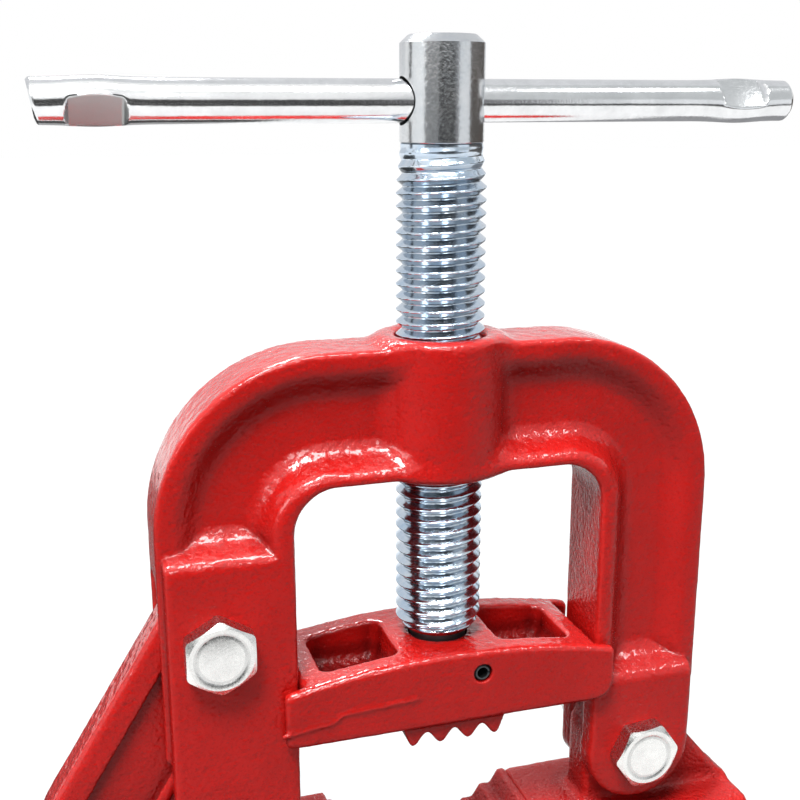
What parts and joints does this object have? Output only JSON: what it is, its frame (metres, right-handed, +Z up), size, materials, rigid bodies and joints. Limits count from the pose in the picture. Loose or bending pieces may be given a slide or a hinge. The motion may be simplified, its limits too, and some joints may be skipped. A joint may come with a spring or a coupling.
{
  "type": "hinged pipe vise",
  "caption": "Hinged yoke pipe vise: a screw-driven toothed jaw in an arched yoke that swings open on a bench base and is locked by a hooked latch.",
  "frame": {"origin": "centre of the foot plate's underside, on the bench", "axes": "+X to the hinge side, +Y to the back, +Z up along the screw"},
  "size_m": [0.24, 0.116, 0.3026],
  "materials": {
    "red_paint": "gloss red paint over rough cast iron",
    "zinc_plate": "bright zinc plate with drawing and turning marks",
    "black_pin": "black oxide spring pin",
    "nylon": "nylon locking ring"
  },
  "bodies": {
    "base_body": {"base": "red_paint", "lower_jaw": "red_paint", "lower_jaw_bolts": "zinc_plate", "lower_jaw_washers": "zinc_plate"},
    "yoke_body": {"yoke": "red_paint", "hinge_bolt": "zinc_plate", "hinge_washer": "zinc_plate", "hinge_nut": "zinc_plate", "hinge_nut_ring": "nylon", "latch_bolt": "zinc_plate", "latch_washer": "zinc_plate", "latch_nut": "zinc_plate", "latch_nut_ring": "nylon"},
    "jaw_body": {"upper_jaw": "red_paint", "upper_jaw_pin": "black_pin"},
    "screw_body": {"clamp_screw": "zinc_plate"},
    "handle_body": {"handle_bar": "zinc_plate"},
    "latch_body": {"latch": "red_paint"}
  },
  "joints": [
    {"name": "yoke_hinge", "type": "hinge", "parent": "base_body", "child": "yoke_body", "pos_m": [0.0603, 0, 0.097], "axis": [0, 1, 0], "range_deg": [0, 80]},
    {"name": "latch_swing", "type": "hinge", "parent": "yoke_body", "child": "latch_body", "pos_m": [-0.065, 0, 0.148], "axis": [0, 1, 0], "range_deg": [-7, 40]},
    {"name": "jaw_slide", "type": "slide", "parent": "yoke_body", "child": "jaw_body", "axis": [0, 0, 1], "range_m": [-0.0375, 0.041]},
    {"name": "screw_turn", "type": "hinge", "parent": "jaw_body", "child": "screw_body", "pos_m": [0, 0, 0.13], "axis": [0, 0, 1], "range_deg": [-3960, 4320]},
    {"name": "handle_slide", "type": "slide", "parent": "screw_body", "child": "handle_body", "axis": [1, 0, 0], "range_m": [-0.064, 0.064]}
  ],
  "couplings": [
    {"joint": "jaw_slide", "follows": "screw_turn", "m_per_rad": 0.00054113}
  ]
}
